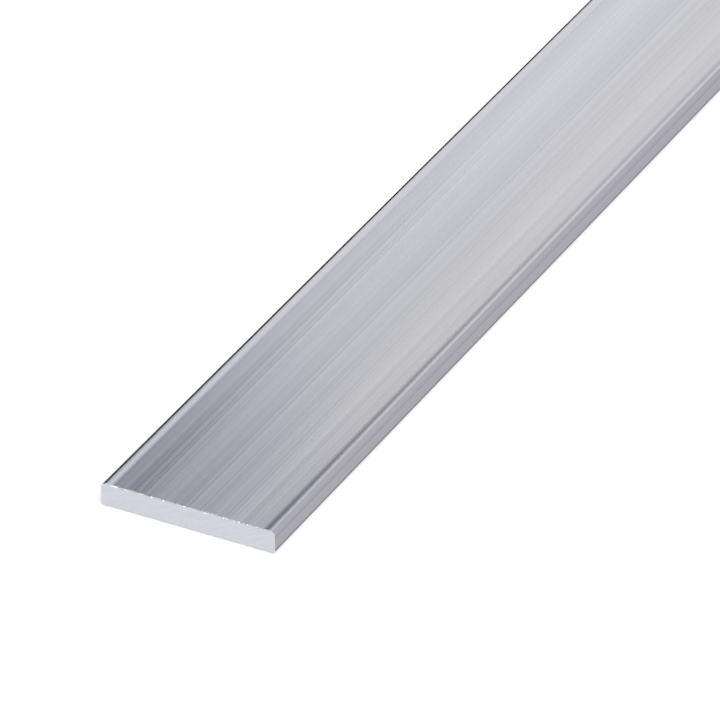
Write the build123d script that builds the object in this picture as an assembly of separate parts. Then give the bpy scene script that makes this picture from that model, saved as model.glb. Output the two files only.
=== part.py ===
from build123d import *
from math import cos, pi
import os

# An extruded aluminium flat bar, one solid piece, sawn square to length.
# X runs across the broad faces, Y along the bar and Z up through its thickness.
# The origin is on the surface that the bar lies on, midway along and midway across.
# All sizes are in millimetres.

# Driving dimensions
bar_width = 30.0
bar_thickness = 4.0
bar_length = 1000.0
corner_radius = 0.75

# Each broad face is very slightly hollow, as flat extrusions come off the press:
# it is flat in the middle and climbs to a low lip just inside each rounded edge.
lip_rise = 0.06
lip_run = 1.5
crest_share = 0.4  # part of the climb that is the rounded crest of the lip


def lip_climb():
    """The climb from the hollow face to the lip: two arcs that are tangent to each other,
    to the flat below and to the top of the rounded edge."""
    crest_top = Vector(bar_width / 2 - corner_radius, bar_thickness / 2)
    foot = crest_top - Vector(lip_run, lip_rise)
    turn_over = crest_top - Vector(lip_run, lip_rise) * crest_share
    valley = TangentArc(foot, turn_over, tangent=(1, 0))
    crest = TangentArc(crest_top, turn_over, tangent=(-1, 0))
    return foot, [valley, crest], crest_top


def rounded_edge(crest_top):
    """The quarter round from the top of the lip down to the flat narrow side."""
    side_top = crest_top + Vector(corner_radius, -corner_radius)
    middle = crest_top + Vector(0, -corner_radius) + Vector(1, 1) * corner_radius * cos(pi / 4)
    return ThreePointArc(crest_top, middle, side_top), side_top


def quarter_outline():
    """A quarter of the section, from the middle of a broad face to the middle of a narrow side."""
    foot, climb, crest_top = lip_climb()
    edge, side_top = rounded_edge(crest_top)
    broad_flat = Line((0, foot.Y), foot)
    narrow_flat = Line(side_top, (side_top.X, 0))
    return Curve() + [broad_flat, *climb, edge, narrow_flat]


def bar_section():
    """The whole section, which is alike in its four quarters, standing in the XZ plane."""
    quarter = quarter_outline()
    half = quarter + mirror(quarter, Plane.YZ)
    outline = half + mirror(half, Plane.XZ)
    mid_height = Plane(origin=(0, 0, bar_thickness / 2), x_dir=(1, 0, 0), z_dir=(0, -1, 0))
    return mid_height * make_face(outline)


def flat_bar():
    """The bar, pushed through the section by half its length each way and cut square."""
    return extrude(bar_section(), bar_length / 2, both=True)


os.makedirs("parts", exist_ok=True)
export_step(flat_bar(), "parts/flat_bar.step")
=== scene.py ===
from math import atan2, pi, radians
from random import Random
from typing import NamedTuple

import bmesh
import bpy
from bpy.props import FloatProperty, FloatVectorProperty, IntProperty, PointerProperty
from bpy.types import Operator, Panel, PropertyGroup, Scene
from mathutils import Matrix, Vector


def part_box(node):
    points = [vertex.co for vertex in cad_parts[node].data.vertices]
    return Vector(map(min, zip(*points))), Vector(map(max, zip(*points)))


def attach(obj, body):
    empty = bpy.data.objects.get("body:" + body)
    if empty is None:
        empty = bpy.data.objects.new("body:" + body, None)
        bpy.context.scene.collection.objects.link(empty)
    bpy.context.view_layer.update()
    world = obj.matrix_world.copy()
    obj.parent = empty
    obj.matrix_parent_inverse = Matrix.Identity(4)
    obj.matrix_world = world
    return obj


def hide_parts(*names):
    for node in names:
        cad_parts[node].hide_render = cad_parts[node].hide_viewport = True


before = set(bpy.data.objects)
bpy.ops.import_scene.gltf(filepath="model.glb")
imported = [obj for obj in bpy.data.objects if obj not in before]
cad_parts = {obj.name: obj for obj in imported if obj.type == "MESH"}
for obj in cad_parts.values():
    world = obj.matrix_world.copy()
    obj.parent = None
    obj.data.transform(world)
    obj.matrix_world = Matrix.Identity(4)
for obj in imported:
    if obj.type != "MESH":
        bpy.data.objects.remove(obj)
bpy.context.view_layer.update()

bl_info = {
    "name": "Extruded Flat Bar",
    "version": (1, 0, 0),
    "blender": (4, 5, 0),
    "location": "3D View > Sidebar > Flat Bar",
    "description": "Models a sawn length of mill finish flat bar and sets it in a studio",
    "category": "Object",
}

MM = 0.001
BAR_LOW, BAR_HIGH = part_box("flat_bar")
BAR_SIZE = BAR_HIGH - BAR_LOW
BAR_MIDDLE = (BAR_LOW + BAR_HIGH) / 2


# Colours and kinds of setting

def hex_colour(code):
    """A hex colour, which is written in sRGB, as the linear colour with alpha that shaders use."""
    shares = [int(code[i:i + 2], 16) / 255 for i in (1, 3, 5)]
    linear = [s / 12.92 if s <= 0.04045 else ((s + 0.055) / 1.055) ** 2.4 for s in shares]
    return (*linear, 1.0)


def a_length(name, description, default):
    """A size in metres that the sidebar shows as a length."""
    return FloatProperty(name=name, description=description, default=default,
                         min=0.0, precision=5, subtype="DISTANCE", unit="LENGTH")


def a_share(name, description, default):
    """A number from 0 to 1."""
    return FloatProperty(name=name, description=description, default=default,
                         min=0.0, max=1.0, subtype="FACTOR")


def an_angle(name, description, default):
    """An angle, whose default is given in degrees."""
    return FloatProperty(name=name, description=description, default=radians(default),
                         subtype="ANGLE", unit="ROTATION")


def a_count(name, description, default):
    """A whole number."""
    return IntProperty(name=name, description=description, default=default, min=1)


def a_colour(name, description, code):
    """A colour, whose default is given as a hex code."""
    return FloatVectorProperty(name=name, description=description, default=hex_colour(code),
                               size=4, min=0.0, max=1.0, subtype="COLOR")


# Settings

class SectionSettings(PropertyGroup):
    """The extruded section and the mesh that follows it."""
    width: a_length("Width", "Width of the bar across its broad faces", BAR_SIZE.x)
    thickness: a_length("Thickness", "Thickness of the bar over its lips", BAR_SIZE.z)
    length: a_length("Length", "Length between the sawn ends", BAR_SIZE.y)
    corner_radius: a_length("Corner Radius", "Radius of the rounded long edges", 0.75 * MM)
    corner_facets: a_count("Corner Facets", "Facets round each long edge", 14)
    lip_rise: a_length(
        "Lip Rise", "Climb from the hollow broad face to the lip beside each long edge", 0.06 * MM)
    lip_run: a_length("Lip Run", "Width over which the broad face climbs to the lip", 1.5 * MM)
    crest_share: a_share("Crest Share", "Part of the climb that is the rounded crest of the lip", 0.4)
    strip: a_length("Strip Width", "Width of the strips that the skin of the bar is made of", 0.1 * MM)
    bay: a_length("Bay Length", "Distance along the bar between the rings of its mesh", 25 * MM)


class SawnEndSettings(PropertyGroup):
    """What the saw leaves at both ends."""
    rim: a_length("Rim Width", "Width of the torn rim round the sawn face", 0.14 * MM)
    chamfer: a_length("Chamfer", "Depth of the neat part of the rim, on the narrow sides", 0.02 * MM)
    tear: a_length("Tear Depth", "How far the rim's teeth stray from the sawn edge", 0.08 * MM)
    grip: a_length("Tear Reach", "How far the tearing reaches along the skin", 0.22 * MM)
    crumb: a_length("Crumb Width", "Width of the widest crumbs of burr", 0.38 * MM)
    crumb_gap: a_length("Crumb Gap", "Widest gap between the crumbs", 1.6 * MM)
    near_seed: a_count("Near Rim Seed", "Which of the random rims the near end has", 3)
    far_seed: a_count("Far Rim Seed", "Which of the random rims the far end has", 8)
    crumb_seed: a_count("Crumb Seed", "Which of the random rows of crumbs the edges have", 14)


class FinishSettings(PropertyGroup):
    """Colours of the metal, and the larger marks of the die in its skin."""
    skin: a_colour("Mill Skin", "Colour of the palest streaks of the skin", "#E2E2E7")
    skin_shade: a_colour("Mill Skin Streaks", "Colour of the dullest streaks of the skin", "#A9A9B2")
    cool_tint: a_colour("Cool Tint", "Tint of the skin at the left of the top", "#FDFEFF")
    warm_tint: a_colour("Warm Tint", "Tint of the skin at the right of the top", "#FFFFFD")
    step_down: a_length("Step Depth", "How far the top steps down, left of its middle", 0.046 * MM)
    step_start: a_length("Step Start", "From the middle of the top to where it steps down", 7.2 * MM)
    step_end: a_length("Step End", "From the middle of the top to the foot of the step", 10.8 * MM)
    side_line: a_length("Side Line", "How far below the top the dark die line of the side is", 1.0 * MM)
    side_line_width: a_length("Side Line Width", "Width of the dark die line", 0.5 * MM)
    sawn: a_colour("Sawn Metal", "Colour of the freshly cut metal", "#D0D3D8")
    sawn_shade: a_colour("Sawn Scratches", "Colour of the saw's faint scratches", "#C6C8CF")
    saw_slant: an_angle("Saw Slant", "Slant of the saw's scratches across the cut", 24)
    burr: a_colour("Burr", "Colour of the clean metal of the burr", "#CCCED3")


class StageSettings(PropertyGroup):
    """The camera, the floor, the light and the cards that the metal reflects."""
    azimuth: an_angle("Camera Azimuth", "Angle of the view from straight along the bar", 28.09)
    elevation: an_angle("Camera Elevation", "Angle of the view above the floor", 32.24)
    roll: an_angle("Camera Roll", "Turn of the picture about the line of sight", -0.51)
    distance: a_length(
        "Camera Distance", "From the camera to the spot on the bar that it aims at", 1227.5 * MM)
    aim_across: a_length("Aim Across", "How far right of the bar's middle the camera aims", 3.73 * MM)
    aim_along: a_length("Aim Along", "How far from the near end the camera aims", 48.76 * MM)
    focal_length: FloatProperty(
        name="Focal Length", description="Focal length of the lens",
        default=395.3, subtype="DISTANCE_CAMERA")
    floor: a_colour("Floor", "Colour of the floor", "#F2F2F2")
    floor_size: a_length("Floor Size", "Width of the square floor", 60)
    floor_glow: a_share("Floor Glow", "Light of its own that lifts the floor to white", 0.3)
    tent: a_share("Tent Light", "Strength of the tent's light on the bar and the floor", 0.72)
    softbox_place: FloatVectorProperty(
        name="Softbox Place", description="Where the softbox hangs",
        default=(0.9, -1.1, 1.5), size=3, subtype="TRANSLATION", unit="LENGTH")
    softbox_size: a_length("Softbox Size", "Width of the square softbox", 1.2)
    softbox_power: FloatProperty(
        name="Softbox Power", description="Power of the softbox", default=12, min=0.0, unit="POWER")
    ceiling: a_length("Ceiling Height", "Height of the cards over the bar", 390 * MM)
    wall: a_length("Wall Distance", "From the bar to the cards beside it", 1500 * MM)
    card_start: a_length(
        "Card Start", "From the near end to the near side of the cards over the bar", 350 * MM)
    dim_edge: a_length("Dim Edge", "How far left of the bar the dim ceiling starts", 282 * MM)
    dim_reach: a_length("Dim Reach", "How far past the near end the dim ceiling reaches", 570 * MM)
    dim_step: a_length("Dim Step", "How far left of the bar the dim ceiling steps outwards", 362 * MM)
    step_reach: a_length(
        "Step Reach", "How far past the near end the ceiling reaches beyond its step", 740 * MM)
    black_edge: a_length("Black Edge", "How far left of the bar the black ceiling starts", 435 * MM)
    strip: a_length("Black Strip", "How far left of the bar the black strip on the floor ends", 59 * MM)
    strip_reach: a_length(
        "Strip Reach", "How far past the near end the black strip reaches", 310 * MM)
    grey_edge: a_length("Grey Edge", "How far left of the bar the grey ceiling starts", 100 * MM)
    dim_card: a_colour("Dim Card", "Tone of the card that darkens the near end of the top", "#586387")
    black_card: a_colour("Black Card", "Tone of the cards that darken the left edge", "#101010")
    grey_card: a_colour("Grey Card", "Tone of the card that the right edge and side see", "#CFCED4")
    # The foot card is painted shadow: a darker sheet for the floor's contact shadow beside the bar, seen
    # only in the metal
    foot_shadow_card: a_colour(
        "Foot Card", "Tone of the thin card that the foot of the right side sees", "#9C9CA4")


# Selecting in edit mode

# How near to a place a vertex or a face has to be to count as there
SAME_PLACE = 0.002 * MM
SAME_ROW = 0.01 * MM
ON_CUT = 0.001 * MM


def select(piece, kind, test):
    """Selects only the vertices, edges or faces of the piece that pass the test."""
    bpy.ops.mesh.select_mode(type=kind)
    bpy.ops.mesh.select_all(action="DESELECT")
    shape = bmesh.from_edit_mesh(piece.data)
    elements = {"VERT": shape.verts, "EDGE": shape.edges, "FACE": shape.faces}[kind]
    elements.index_update()
    for element in elements:
        if test(element):
            element.select_set(True)
    shape.select_flush_mode()
    bmesh.update_edit_mesh(piece.data)


def same(a, b):
    """Whether two places are the same, give or take the mesh's rounding."""
    return abs(a - b) < SAME_PLACE


# Modelling the section and the length of the bar

def cut(bar, place, across):
    """Cuts an edge loop right round the bar at a place, across a direction."""
    bpy.ops.mesh.select_all(action="SELECT")
    bpy.ops.mesh.bisect(plane_co=place, plane_no=across, threshold=ON_CUT)


def section_face(size):
    """The section as one upright face at the near end, with its corners rounded."""
    bpy.ops.mesh.primitive_plane_add(
        size=1, location=(BAR_MIDDLE.x, BAR_LOW.y, BAR_MIDDLE.z), rotation=(pi / 2, 0, 0))
    bar = bpy.context.object
    bar.name = bar.data.name = "extruded_bar"
    bar.scale = (size.width, size.thickness, 1)
    bpy.ops.object.transform_apply(location=True, rotation=True, scale=True)
    bpy.ops.object.mode_set(mode="EDIT")
    bpy.ops.mesh.select_all(action="SELECT")
    bpy.ops.mesh.bevel(offset=size.corner_radius, segments=size.corner_facets, affect="VERTICES")
    return bar


def cut_strips(bar, size):
    """Cuts the section into narrow strips, which the lips and the torn rims are shaped from."""
    flat = size.width - 2 * size.corner_radius
    strips = round(flat / size.strip)
    for i in range(strips + 1):
        cut(bar, (BAR_MIDDLE.x - flat / 2 + flat * i / strips, 0, 0), (1, 0, 0))
    side = size.thickness - 2 * size.corner_radius
    select(bar, "EDGE", lambda e: all(same(abs(v.co.x), size.width / 2) for v in e.verts))
    bpy.ops.mesh.subdivide(number_cuts=round(side / size.strip) - 1)


def lip_drop(inward, size):
    """How far a broad face lies below its lip, by the distance inward from the top of the lip. The
    crest and the foot of the climb are two curves that meet with one slope."""
    crest = size.lip_run * size.crest_share
    if inward <= crest:
        return size.lip_rise * size.crest_share * (inward / crest) ** 2
    climb = min(1, (size.lip_run - inward) / (size.lip_run - crest)) if inward < size.lip_run else 0
    return size.lip_rise * (1 - (1 - size.crest_share) * climb ** 2)


def squeeze(amount, centre):
    """Scales the selected part of the section in height about its middle."""
    bpy.ops.transform.resize(value=(1, 1, amount), center_override=centre)


def hollow_faces(bar, size):
    """Draws the broad faces in, strip by strip, from the lips to the flat middle."""
    half_flat = size.width / 2 - size.corner_radius
    rows = sorted({round(abs(v.co.x) / SAME_ROW) * SAME_ROW
                   for v in bmesh.from_edit_mesh(bar.data).verts if abs(v.co.x) < half_flat - SAME_ROW})
    centre = (0, BAR_LOW.y, BAR_MIDDLE.z)
    flat_rows = [x for x in rows if half_flat - x >= size.lip_run]
    lip_rows = [x for x in rows if half_flat - x < size.lip_run]
    select(bar, "VERT", lambda v: abs(v.co.x) < flat_rows[-1] + SAME_ROW)
    squeeze(1 - 2 * size.lip_rise / size.thickness, centre)
    for row in lip_rows:
        select(bar, "VERT", lambda v: same(abs(v.co.x), row))
        squeeze(1 - 2 * lip_drop(half_flat - row, size) / size.thickness, centre)


def push_through(bar, size):
    """Pushes the section out to the bar's length and rings it with edges."""
    bpy.ops.mesh.select_all(action="SELECT")
    bpy.ops.mesh.extrude_region_move(TRANSFORM_OT_translate={"value": (0, size.length, 0)})
    bpy.ops.mesh.select_all(action="SELECT")
    bpy.ops.mesh.normals_make_consistent(inside=False)
    bays = round(size.length / size.bay)
    for i in range(1, bays):
        cut(bar, (0, BAR_LOW.y + size.length * i / bays, 0), (0, 1, 0))


# Modelling the sawn ends

# The narrowest crumb of burr, as a part of the widest
NARROWEST_CRUMB = 0.3
# How high the crumbs stand, as a part of the lip's rise
BURR_LIFT = 0.8


def saw_ends(bar, size, end):
    """Gives both ends the thin rim that a saw leaves round its cut. It is a neat chamfer on the narrow
    sides, and it is torn along the broad faces, where crumbs of burr stand up from it."""
    flat = size.width / 2 - size.corner_radius
    shorter = 1 - 2 * end.tear / size.thickness
    for end_y, inwards, seed in ((BAR_LOW.y, 1, end.near_seed), (BAR_HIGH.y, -1, end.far_seed)):
        for reach in (2 * end.grip, end.grip):
            cut(bar, (0, end_y + inwards * reach, 0), (0, 1, 0))
        select(bar, "FACE", lambda f: abs(f.calc_center_median().y - end_y) < SAME_ROW)
        bpy.ops.mesh.inset(thickness=end.rim, use_even_offset=True)
        shape = bmesh.from_edit_mesh(bar.data)
        shape.verts.index_update()
        inner = {v.index for f in shape.faces if f.select for v in f.verts}
        select(bar, "VERT", lambda v: same(v.co.y, end_y) and v.index not in inner)
        bpy.ops.transform.translate(value=(0, inwards * end.chamfer, 0))
        select(bar, "VERT", lambda v: same(v.co.y, end_y + inwards * end.chamfer) and abs(v.co.x) < flat)
        bpy.ops.transform.translate(value=(0, inwards * (end.tear - end.chamfer), 0))
        bpy.ops.transform.resize(value=(1, 1, shorter), center_override=(0, end_y, BAR_MIDDLE.z))
        bpy.ops.transform.vertex_random(offset=end.tear, uniform=1, seed=seed)
        for side in (1, -1):
            raise_burr(bar, size, end, end_y, side)


def crumbs(size, end, side):
    """Where crumbs of burr cling along the upper edge (1) or the lower edge (-1), as pairs of x."""
    random = Random(end.crumb_seed + side)
    x = -size.width / 2
    places = []
    while x < size.width / 2:
        start = x + end.crumb_gap * random.random()
        x = start + end.crumb * random.uniform(NARROWEST_CRUMB, 1)
        places.append((start, x))
    return places


def raise_burr(bar, size, end, end_y, side):
    """Lifts the crumbs of burr on the upper side (1) or the lower one (-1)."""
    edge = size.width / 2 - size.corner_radius - size.lip_run
    lowest = size.thickness / 2 - size.lip_rise - 2 * end.tear
    places = crumbs(size, end, side)
    select(bar, "VERT", lambda v: abs(v.co.y - end_y) < 2 * end.tear and abs(v.co.x) < edge
           and (v.co.z - BAR_MIDDLE.z) * side > lowest
           and any(start < v.co.x < stop for start, stop in places))
    bpy.ops.transform.translate(value=(0, 0, side * size.lip_rise * BURR_LIFT))


# Unrolling the skin

# How the skin lies in the UV map "OFBake": its share of the map's width, the share of the map's
# height that each end has beside it, and the margin round each part
SKIN_SHARE = 0.88
END_SHARE = 0.5
MARGIN = 0.01
# A face whose normal lies along the bar by more than this is sawn
SAWN_NORMAL = 0.7


def quarter_girth(size):
    """Distance round a quarter of the section, from the middle of a broad face to the middle of a side."""
    return size.width / 2 + size.thickness / 2 + size.corner_radius * (pi / 2 - 2)


def girth(point, over, right, size):
    """Distance round the section from the middle of the underside, by way of the right side, for a
    point of the skin. over and right tell which quarter of the section the point's face is in."""
    flat = size.width / 2 - size.corner_radius
    upright = size.thickness / 2 - size.corner_radius
    across = abs(point.x - BAR_MIDDLE.x)
    height = abs(point.z - BAR_MIDDLE.z)
    quarter = quarter_girth(size)
    if across <= flat:
        run = across
    elif height <= upright:
        run = quarter - height
    else:
        run = flat + size.corner_radius * atan2(across - flat, height - upright)
    half = 2 * quarter - run if over else run
    return half if right else 4 * quarter - half


def unroll(bar, size):
    """Lays the skin out flat as one sheet, unrolled from round the bar, with the two ends beside it,
    one over the other."""
    shape = bmesh.new()
    shape.from_mesh(bar.data)
    layer = shape.loops.layers.uv.new("OFBake")
    round_bar = 4 * quarter_girth(size)
    end_width = 1 - SKIN_SHARE - 3 * MARGIN
    for face in shape.faces:
        middle = face.calc_center_median()
        sawn = abs(face.normal.y) > SAWN_NORMAL
        far = middle.y > BAR_MIDDLE.y
        over, right = middle.z > BAR_MIDDLE.z, middle.x > BAR_MIDDLE.x
        for loop in face.loops:
            at = loop.vert.co - BAR_LOW
            if sawn:
                u = MARGIN + SKIN_SHARE + MARGIN + at.z / size.thickness * end_width
                v = MARGIN + at.x / size.width * (END_SHARE - 2 * MARGIN) + END_SHARE * far
            else:
                u = MARGIN + girth(loop.vert.co, over, right, size) / round_bar * SKIN_SHARE
                v = MARGIN + at.y / size.length * (1 - 2 * MARGIN)
            loop[layer].uv = (u, v)
    shape.to_mesh(bar.data)
    shape.free()
    bar.data.uv_layers.active = bar.data.uv_layers["OFBake"]


# Materials

def add_node(tree, kind, links=None, **settings):
    """Adds a shader node, sets its properties and its unlinked sockets, and links the others."""
    node = tree.nodes.new(kind)
    for name, value in settings.items():
        setattr(node, name, value)
    for socket, value in (links or {}).items():
        if isinstance(value, bpy.types.NodeSocket):
            tree.links.new(value, node.inputs[socket])
        else:
            node.inputs[socket].default_value = value
    return node


def new_material(name):
    """An empty material and its node tree."""
    material = bpy.data.materials.new(name)
    material.use_nodes = True
    material.node_tree.nodes.clear()
    return material, material.node_tree


class Layer(NamedTuple):
    """Noise that changes round the bar and not along it, so that it draws lines along the bar. width
    is that of its waves in millimetres, and place is where in the noise it starts. amount is its
    whole range: a share of the tone for streaks, and a height in millimetres for relief."""
    width: float
    place: float
    amount: float


class Step(NamedTuple):
    """A soft change by an amount, from its start to its end. Both are in millimetres, left of the
    middle of the top."""
    start: float
    end: float
    amount: float


class Line(NamedTuple):
    """A line along the bar. place is in millimetres, left of the middle of the top or up from the
    middle of the right side, and width is that at half its depth. darkness is what it takes off the
    tone, and below zero the line is pale."""
    place: float
    width: float
    darkness: float


# What the die leaves in the skin. Real die lines are down to hundredths of a millimetre wide. These
# are as coarse as they need to be to show, and the shader's anisotropy stands for the finer ones.
STREAKS = (
    Layer(width=4.0, place=649.2, amount=0.26),
    Layer(width=0.9, place=1692.2, amount=0.15),
    Layer(width=0.45, place=216.4, amount=0.115),
)
RELIEF = (
    Layer(width=3.0, place=1475.6, amount=0.016),
    Layer(width=0.85, place=611.4, amount=0.0040),
    Layer(width=0.6, place=1099.2, amount=0.0022),
    Layer(width=0.35, place=873.8, amount=0.0012),
)
# The skin's mean tone, between its dullest streaks at 0 and its palest at 1
MEAN_TONE = 0.598
# The narrow sides keep this part of the streaks and the relief. The change to the broad faces lies
# round each corner, between two distances in millimetres from the middle of the side.
SIDE_STRENGTH = 0.35
SIDE_END, FACE_START = 1.35, 2.6
# Left of its middle the top turns paler, and towards the left lip it dulls a little
PALER, DULLER = Step(2.5, 8.5, 0.2), Step(10.3, 12.3, -0.04)
# The tint turns cool on the way to the left of the top, and warm again under the bar
COOLER, WARMER = Step(-12, 12, 1.0), Step(18, 32, -1.0)
# The dark line inside the right lip is painted shade: a darker tone for the dark cards that the lip's
# inner slope reflects. A dark die line runs along the right side. The dark line at its foot is painted
# shade for the floor's contact shadow beside the bar. A pale line of painted highlight follows the
# rounded edge between the side and the top.
LIP_SHADE_LINE = Line(-13.55, 0.6, 0.3)
SIDE_LINE_DARKNESS = 0.28
FOOT_SHADE_LINE = Line(-1.45, 0.45, 0.35)
EDGE_HIGHLIGHT_LINE = Line(1.9, 0.8, -0.09)
# Fine scratches run along the step in the top, at these distances left of its middle
SCRATCHES = (7.75, 8.25, 9.45, 10.1)
SCRATCH_WIDTH = 0.26
SCRATCH_DEPTH = 0.0022


def mill_finish(finish, size):
    """Aluminium as extruded. The die draws fine lines along the whole bar, straight and unbroken, so
    that a highlight spreads across it and stays tight along it. Shallow waves between the lines
    catch the light as soft streaks, and duller and brighter streaks run its full length. The top
    steps down softly left of its middle, where the light catches fine scratches, and its tint goes
    very slightly from cool at the left to warm at the right."""
    material, tree = new_material("mill_finish_aluminium")
    unrolled = add_node(tree, "ShaderNodeUVMap", uv_map="OFBake")
    across = add_node(tree, "ShaderNodeSeparateXYZ", {0: unrolled.outputs[0]}).outputs["X"]
    round_bar = 4 * quarter_girth(size) / MM
    over_top, over_side = round_bar / 2, round_bar / 4

    def reckon(operation, first, second=0.0, third=0.0):
        return add_node(tree, "ShaderNodeMath", {
            0: first, 1: second, 2: third}, operation=operation).outputs[0]

    def ramp(value, start, end, low, high):
        """Low up to the start and high from the end on, with a smooth climb between them."""
        return add_node(tree, "ShaderNodeMapRange", {
            "Value": value, "From Min": start, "From Max": end, "To Min": low, "To Max": high},
            interpolation_type="SMOOTHSTEP").outputs[0]

    girth_mm = reckon("MULTIPLY_ADD", across, round_bar / SKIN_SHARE, -MARGIN * round_bar / SKIN_SHARE)

    def pile(layers, bottom):
        """The sum of the layers on top of the bottom."""
        for layer in layers:
            spot = reckon("MULTIPLY_ADD", girth_mm, 1 / layer.width, layer.place)
            waves = add_node(tree, "ShaderNodeTexNoise", {
                "W": spot, "Scale": 1.0, "Detail": 0.0}, noise_dimensions="1D")
            bottom = reckon("MULTIPLY_ADD", waves.outputs["Fac"], layer.amount, bottom)
        return bottom

    def climb(value, step):
        """The value with the step's amount added to it past the step."""
        rise = ramp(girth_mm, over_top + step.start, over_top + step.end, 0.0, step.amount)
        return reckon("ADD", value, rise)

    def draw(value, middle, line):
        """The value with the line drawn on it, its place counted from the middle."""
        away = reckon("ABSOLUTE", reckon("SUBTRACT", girth_mm, middle + line.place))
        return reckon("ADD", value, ramp(away, 0.0, line.width, -line.darkness, 0.0))

    from_top = reckon("ABSOLUTE", reckon("SUBTRACT", girth_mm, over_top))
    from_side = reckon("ABSOLUTE", reckon("SUBTRACT", from_top, over_side))
    on_face = ramp(from_side, SIDE_END, FACE_START, SIDE_STRENGTH, 1.0)

    tone = pile(STREAKS, -sum(layer.amount for layer in STREAKS) / 2)
    tone = reckon("MULTIPLY_ADD", tone, on_face, MEAN_TONE)
    tone = climb(climb(tone, PALER), DULLER)
    side_line = Line((size.thickness / 2 - finish.side_line) / MM,
                     finish.side_line_width / MM, SIDE_LINE_DARKNESS)
    # The side's die line, the painted shade inside the right lip and at the foot of the side, and the
    # painted highlight along the side's upper edge
    for middle, line in ((over_side, side_line), (over_top, LIP_SHADE_LINE),
                         (over_side, FOOT_SHADE_LINE), (over_side, EDGE_HIGHLIGHT_LINE)):
        tone = draw(tone, middle, line)
    grey = add_node(tree, "ShaderNodeMix", {
        "Factor": tone, "A": tuple(finish.skin_shade), "B": tuple(finish.skin)}, data_type="RGBA")
    cool = climb(climb(0.0, COOLER), WARMER)
    tint = add_node(tree, "ShaderNodeMix", {
        "Factor": cool, "A": tuple(finish.warm_tint), "B": tuple(finish.cool_tint)}, data_type="RGBA")
    base = add_node(tree, "ShaderNodeMix", {
        "Factor": 1.0, "A": grey.outputs["Result"], "B": tint.outputs["Result"]},
        data_type="RGBA", blend_type="MULTIPLY")

    height = reckon("MULTIPLY", pile(RELIEF, 0.0), on_face)
    height = climb(height, Step(finish.step_start / MM, finish.step_end / MM, -finish.step_down / MM))
    for place in SCRATCHES:
        height = climb(height, Step(place - SCRATCH_WIDTH / 2, place + SCRATCH_WIDTH / 2, -SCRATCH_DEPTH))
    bump = add_node(tree, "ShaderNodeBump", {"Strength": 1.0, "Distance": MM, "Height": height})
    tangent = add_node(tree, "ShaderNodeTangent", direction_type="UV_MAP", uv_map="OFBake")
    metal = add_node(tree, "ShaderNodeBsdfPrincipled", {
        "Base Color": base.outputs["Result"], "Metallic": 1.0, "Roughness": 0.2, "Anisotropic": 0.6,
        "Tangent": tangent.outputs[0], "Normal": bump.outputs[0]})
    add_node(tree, "ShaderNodeOutputMaterial", {"Surface": metal.outputs[0]})
    return material


# The scratches that the saw's teeth leave
SAW_MARK_LENGTH = 5 * MM
SAW_MARK_WIDTH = 0.35 * MM
SAW_MARK_DEPTH = 0.012 * MM
# The grain of the torn metal
TORN_GRAIN = 0.08 * MM
TORN_DEPTH = 0.02 * MM


def sawn_metal(finish):
    """Freshly sawn aluminium. The saw's teeth leave faint slanting scratches across the cut, and the
    bare metal under them is brighter and more even than the skin."""
    material, tree = new_material("sawn_aluminium")
    place = add_node(tree, "ShaderNodeTexCoord").outputs["Object"]
    turned = add_node(tree, "ShaderNodeMapping", {"Vector": place, "Rotation": (0, finish.saw_slant, 0)})
    spot = add_node(tree, "ShaderNodeMapping", {
        "Vector": turned.outputs[0], "Scale": (1 / SAW_MARK_LENGTH, 0, 1 / SAW_MARK_WIDTH)})
    marks = add_node(tree, "ShaderNodeTexNoise", {
        "Vector": spot.outputs[0], "Scale": 1.0, "Detail": 2.0, "Roughness": 0.6})
    tone = add_node(tree, "ShaderNodeMapRange", {
        "Value": marks.outputs["Fac"], "From Min": 0.25, "From Max": 0.75})
    base = add_node(tree, "ShaderNodeMix", {
        "Factor": tone.outputs[0], "A": tuple(finish.sawn_shade), "B": tuple(finish.sawn)},
        data_type="RGBA")
    bump = add_node(tree, "ShaderNodeBump", {
        "Strength": 1.0, "Distance": SAW_MARK_DEPTH, "Height": marks.outputs["Fac"]})
    metal = add_node(tree, "ShaderNodeBsdfPrincipled", {
        "Base Color": base.outputs["Result"], "Metallic": 1.0, "Roughness": 0.5, "Normal": bump.outputs[0]})
    add_node(tree, "ShaderNodeOutputMaterial", {"Surface": metal.outputs[0]})
    return material


def torn_metal(finish):
    """The thin crumbs of burr at the saw's edge: clean torn metal, with a fine rough grain, which
    glints wherever a facet turns to the light."""
    material, tree = new_material("torn_aluminium")
    place = add_node(tree, "ShaderNodeTexCoord").outputs["Object"]
    grain = add_node(tree, "ShaderNodeTexNoise", {"Vector": place, "Scale": 1 / TORN_GRAIN, "Detail": 1.0})
    bump = add_node(tree, "ShaderNodeBump", {
        "Strength": 1.0, "Distance": TORN_DEPTH, "Height": grain.outputs["Fac"]})
    metal = add_node(tree, "ShaderNodeBsdfPrincipled", {
        "Base Color": tuple(finish.burr), "Metallic": 1.0, "Roughness": 0.33, "Normal": bump.outputs[0]})
    add_node(tree, "ShaderNodeOutputMaterial", {"Surface": metal.outputs[0]})
    return material


# Faces nearer to an end than this part of the tear depth are sawn
SAWN_REACH = 0.9


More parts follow.
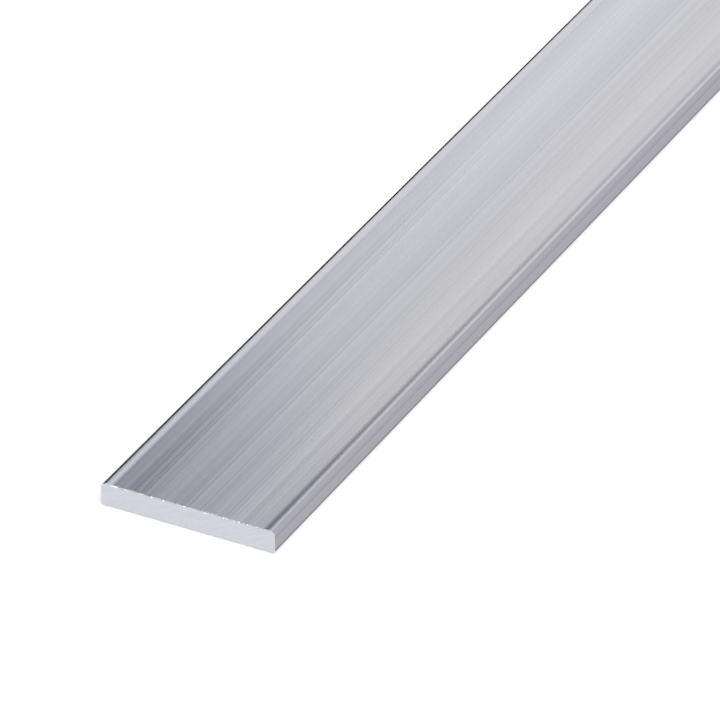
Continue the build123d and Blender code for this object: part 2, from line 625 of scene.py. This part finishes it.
def dress(bar, size, end, finish):
    """Gives the skin, the sawn faces and the torn crumbs of their rims their materials."""
    for material in (mill_finish(finish, size), sawn_metal(finish), torn_metal(finish)):
        bar.data.materials.append(material)
    places = {side: crumbs(size, end, side) for side in (1, -1)}

    def depth(face):
        return size.length / 2 - abs(face.calc_center_median().y - BAR_MIDDLE.y)

    def is_crumb(face):
        middle = face.calc_center_median()
        side = 1 if middle.z > BAR_MIDDLE.z else -1
        return (depth(face) < end.grip and abs(middle.z - BAR_MIDDLE.z) > size.thickness / 2 - 2 * end.rim
                and any(start < middle.x < stop for start, stop in places[side]))

    bpy.ops.object.mode_set(mode="EDIT")
    select(bar, "FACE", lambda f: depth(f) < SAWN_REACH * end.tear)
    bar.active_material_index = 1
    bpy.ops.object.material_slot_assign()
    select(bar, "FACE", is_crumb)
    bar.active_material_index = 2
    bpy.ops.object.material_slot_assign()
    bpy.ops.object.mode_set(mode="OBJECT")


# The bar

# Facets that meet at less than this are shaded as one smooth surface
SMOOTH_BELOW = radians(25)


class OBJECT_OT_make_flat_bar(Operator):
    """Model the extruded flat bar with its lips, rounded edges and sawn ends"""
    bl_idname = "object.make_flat_bar"
    bl_label = "Make Flat Bar"

    def execute(self, context):
        size = context.scene.bar_section
        end = context.scene.bar_ends
        finish = context.scene.bar_finish
        bpy.ops.object.select_all(action="DESELECT")
        bar = section_face(size)
        cut_strips(bar, size)
        hollow_faces(bar, size)
        push_through(bar, size)
        saw_ends(bar, size, end)
        bpy.ops.object.mode_set(mode="OBJECT")
        bpy.ops.object.shade_smooth_by_angle(angle=SMOOTH_BELOW)
        unroll(bar, size)
        dress(bar, size, end, finish)
        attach(bar, "root")
        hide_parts("flat_bar")
        return {"FINISHED"}


# Stage

WHITE = "#FFFFFF"
# In millimetres, as the lens is
SENSOR_WIDTH = 36
# The camera sees nothing nearer or farther than these, in metres
SEEN_FROM, SEEN_TO = 10 * MM, 100


def place_camera(stage):
    """Aims a long lens at the near part of the bar."""
    aim = Vector((BAR_MIDDLE.x + stage.aim_across, BAR_LOW.y + stage.aim_along, BAR_HIGH.z))
    turn = Matrix.Rotation(stage.azimuth, 4, "Z") @ Matrix.Rotation(pi / 2 - stage.elevation, 4, "X")
    turn = turn @ Matrix.Rotation(stage.roll, 4, "Z")
    bpy.ops.object.camera_add()
    camera = bpy.context.object
    camera.name = "camera"
    camera.matrix_world = Matrix.Translation(aim) @ turn @ Matrix.Translation((0, 0, stage.distance))
    camera.data.lens = stage.focal_length
    camera.data.sensor_width = SENSOR_WIDTH
    camera.data.clip_start = SEEN_FROM
    camera.data.clip_end = SEEN_TO
    bpy.context.scene.camera = camera


def seen_directly(tree):
    """1 for the rays that show a background: from the camera, off metal and through glass."""
    rays = add_node(tree, "ShaderNodeLightPath")
    shown = add_node(tree, "ShaderNodeMath", {
        0: rays.outputs["Is Camera Ray"], 1: rays.outputs["Is Glossy Ray"]}, operation="MAXIMUM")
    return add_node(tree, "ShaderNodeMath", {
        0: shown.outputs[0], 1: rays.outputs["Is Transmission Ray"]}, operation="MAXIMUM").outputs[0]


def lay_floor(stage):
    """A wide board under smooth matt paint. It has no gloss, and a little light of its own lifts it to
    white, apart from the bar's shadow."""
    bpy.ops.mesh.primitive_plane_add(
        size=stage.floor_size, location=(BAR_MIDDLE.x, BAR_MIDDLE.y, BAR_LOW.z))
    floor = bpy.context.object
    floor.name = "floor"
    material, tree = new_material("pale_floor")
    lift = add_node(tree, "ShaderNodeMath", {
        0: seen_directly(tree), 1: stage.floor_glow}, operation="MULTIPLY")
    paint = add_node(tree, "ShaderNodeBsdfPrincipled", {
        "Base Color": tuple(stage.floor), "Roughness": 1.0, "Specular IOR Level": 0.0,
        "Emission Color": hex_colour(WHITE), "Emission Strength": lift.outputs[0]})
    add_node(tree, "ShaderNodeOutputMaterial", {"Surface": paint.outputs[0]})
    floor.data.materials.append(material)


def card_material(name, tone, fade=None):
    """Matt dyed card, shown in one even tone whatever light falls on it. With fade, a pair of distances
    from the near end of the bar, its tone turns to white between them."""
    material, tree = new_material(name)
    shown = tuple(tone)
    if fade:
        place = add_node(tree, "ShaderNodeTexCoord").outputs["Object"]
        along = add_node(tree, "ShaderNodeSeparateXYZ", {0: place}).outputs["Y"]
        whiter = add_node(tree, "ShaderNodeMapRange", {
            "Value": along, "From Min": BAR_LOW.y + fade[0], "From Max": BAR_LOW.y + fade[1]})
        faded = add_node(tree, "ShaderNodeMix", {
            "Factor": whiter.outputs[0], "A": shown, "B": hex_colour(WHITE)}, data_type="RGBA")
        shown = faded.outputs["Result"]
    glow = add_node(tree, "ShaderNodeEmission", {"Color": shown, "Strength": 1.0})
    add_node(tree, "ShaderNodeOutputMaterial", {"Surface": glow.outputs[0]})
    return material


def fold_card(name, material, folds, run):
    """A card folded along the bar, which only the metal sees. folds are its near corners as
    (across, along, height) from the near end of the bar, and run is its length along the bar."""
    near_end = Vector((BAR_MIDDLE.x, BAR_LOW.y, BAR_LOW.z))
    corners = [near_end + Vector(fold) for fold in folds]
    bpy.ops.mesh.primitive_plane_add(size=1)
    card = bpy.context.object
    card.name = card.data.name = name
    bpy.ops.object.mode_set(mode="EDIT")
    bpy.ops.mesh.select_all(action="SELECT")
    bpy.ops.mesh.delete(type="ONLY_FACE")
    select(card, "VERT", lambda v: v.index > 0)
    bpy.ops.mesh.delete(type="VERT")
    bpy.ops.mesh.select_all(action="SELECT")
    bpy.ops.transform.translate(value=corners[0] - card.data.vertices[0].co)
    for here, there in zip(corners, corners[1:]):
        bpy.ops.mesh.extrude_region_move(TRANSFORM_OT_translate={"value": there - here})
    bpy.ops.mesh.select_all(action="SELECT")
    bpy.ops.mesh.extrude_region_move(TRANSFORM_OT_translate={"value": (0, run, 0)})
    bpy.ops.object.mode_set(mode="OBJECT")
    card.data.materials.append(material)
    card.visible_camera = card.visible_diffuse = card.visible_shadow = False


# Clearance of the cards that lie on the floor, and how far under the rounded edges they reach
CARD_LIFT, CARD_TUCK = 0.05 * MM, 0.4 * MM
# The black ceiling starts farther along than its step
BLACK_LAG, BLACK_RUN = 100 * MM, 700 * MM
# The black strip fades from a little before its reach to well past it
FADE_BEFORE, FADE_PAST = 50 * MM, 400 * MM
# The grey wall stands a little nearer than the black one, and its ceiling starts before the near end
GREY_LEAD, GREY_START, GREY_RUN = 100 * MM, -150 * MM, 1100 * MM
# How far the card of painted shadow at the foot of the right side reaches in under the side and out from it
FOOT_SHADOW_IN, FOOT_SHADOW_OUT = 0.1 * MM, 0.5 * MM


def stand_cards(stage):
    """Cards that only the metal sees. A dim ceiling over the near end leaves a white gap above the bar,
    which lights its top. The left edge sees black, the right edge and side see grey, and the foot of the
    right side sees a thin darker card, a painted shadow that stands for the floor's contact shadow beside
    the bar. The large cards slant away from the bar, so that other views of it see mostly the white tent."""
    dim = card_material("dim_card", stage.dim_card)
    black = card_material("black_card", stage.black_card)
    grey = card_material("grey_card", stage.grey_card)
    top, wall, start = stage.ceiling, stage.wall, stage.card_start
    low, side = CARD_LIFT, BAR_SIZE.x / 2
    foot = side - CARD_TUCK

    fold_card("dim_ceiling", dim, [
        (-stage.dim_edge, start, top),
        (-stage.dim_step, start, top)], stage.dim_reach - start)
    fold_card("black_ceiling_step", black, [
        (-stage.dim_step, start, top),
        (-stage.black_edge, start, top)], stage.step_reach - start)
    fold_card("black_ceiling", black, [
        (-stage.black_edge, start + BLACK_LAG, top),
        (-wall, wall, top),
        (-wall, wall, low)], BLACK_RUN)

    fade = (stage.strip_reach - FADE_BEFORE, stage.strip_reach + FADE_PAST)
    fold_card("black_strip", card_material("fading_card", stage.black_card, fade), [
        (-foot, 0, low),
        (-stage.strip, 0, low),
        (-wall, wall, low)], stage.strip_reach + FADE_PAST)

    fold_card("grey_wall", grey, [
        (foot, 0, low),
        (wall, wall - GREY_LEAD, low),
        (wall, wall - GREY_LEAD, top),
        (-stage.grey_edge, GREY_START, top)], GREY_RUN)
    # A thin darker card of painted shadow, for the floor's contact shadow at the foot of the right side
    fold_card("foot_shadow_card", card_material("foot_shadow_card", stage.foot_shadow_card), [
        (side - FOOT_SHADOW_IN, 0, 2 * low),
        (side + FOOT_SHADOW_OUT, 0, 2 * low)], BAR_SIZE.y)


def light_studio(stage):
    """A white tent of soft light, with one wide softbox above the camera's right."""
    scene = bpy.context.scene
    scene.world = scene.world or bpy.data.worlds.new("studio")
    scene.world.use_nodes = True
    tree = scene.world.node_tree
    tree.nodes.clear()
    soft = add_node(tree, "ShaderNodeBackground", {"Color": hex_colour(WHITE), "Strength": stage.tent})
    white = add_node(tree, "ShaderNodeBackground", {"Color": hex_colour(WHITE), "Strength": 1.0})
    both = add_node(tree, "ShaderNodeMixShader", {
        0: seen_directly(tree), 1: soft.outputs[0], 2: white.outputs[0]})
    add_node(tree, "ShaderNodeOutputWorld", {"Surface": both.outputs[0]})

    place = Vector(stage.softbox_place)
    bpy.ops.object.light_add(type="AREA", location=place)
    softbox = bpy.context.object
    softbox.name = "softbox"
    softbox.rotation_mode = "QUATERNION"
    softbox.rotation_quaternion = (place - BAR_MIDDLE).to_track_quat("Z", "Y")
    softbox.data.shape = "SQUARE"
    softbox.data.size = stage.softbox_size
    softbox.data.energy = stage.softbox_power


class OBJECT_OT_make_bar_stage(Operator):
    """Set the camera, the floor, the cards and the light"""
    bl_idname = "object.make_bar_stage"
    bl_label = "Make Stage"

    def execute(self, context):
        bpy.ops.object.select_all(action="DESELECT")
        stage = context.scene.bar_stage
        place_camera(stage)
        lay_floor(stage)
        stand_cards(stage)
        light_studio(stage)
        context.scene.view_settings.view_transform = "Standard"
        return {"FINISHED"}


# Sidebar and registration

class VIEW3D_PT_flat_bar(Panel):
    """Lists every setting, and the two operators that use them"""
    bl_label = "Flat Bar"
    bl_space_type = "VIEW_3D"
    bl_region_type = "UI"
    bl_category = "Flat Bar"

    def draw(self, context):
        scene = context.scene
        for title, settings in (("Section", scene.bar_section), ("Ends", scene.bar_ends),
                                ("Finish", scene.bar_finish), ("Stage", scene.bar_stage)):
            box = self.layout.box()
            box.label(text=title)
            for name in settings.__annotations__:
                box.prop(settings, name)
        self.layout.operator(OBJECT_OT_make_flat_bar.bl_idname)
        self.layout.operator(OBJECT_OT_make_bar_stage.bl_idname)


SETTINGS = {
    "bar_section": SectionSettings,
    "bar_ends": SawnEndSettings,
    "bar_finish": FinishSettings,
    "bar_stage": StageSettings,
}
CLASSES = (*SETTINGS.values(), OBJECT_OT_make_flat_bar, OBJECT_OT_make_bar_stage, VIEW3D_PT_flat_bar)


def register():
    for cls in CLASSES:
        bpy.utils.register_class(cls)
    for name, cls in SETTINGS.items():
        setattr(Scene, name, PointerProperty(type=cls))


def unregister():
    for name in SETTINGS:
        delattr(Scene, name)
    for cls in reversed(CLASSES):
        bpy.utils.unregister_class(cls)


def main():
    register()
    bpy.ops.object.make_flat_bar()
    bpy.ops.object.make_bar_stage()


if __name__ == "__main__":
    main()
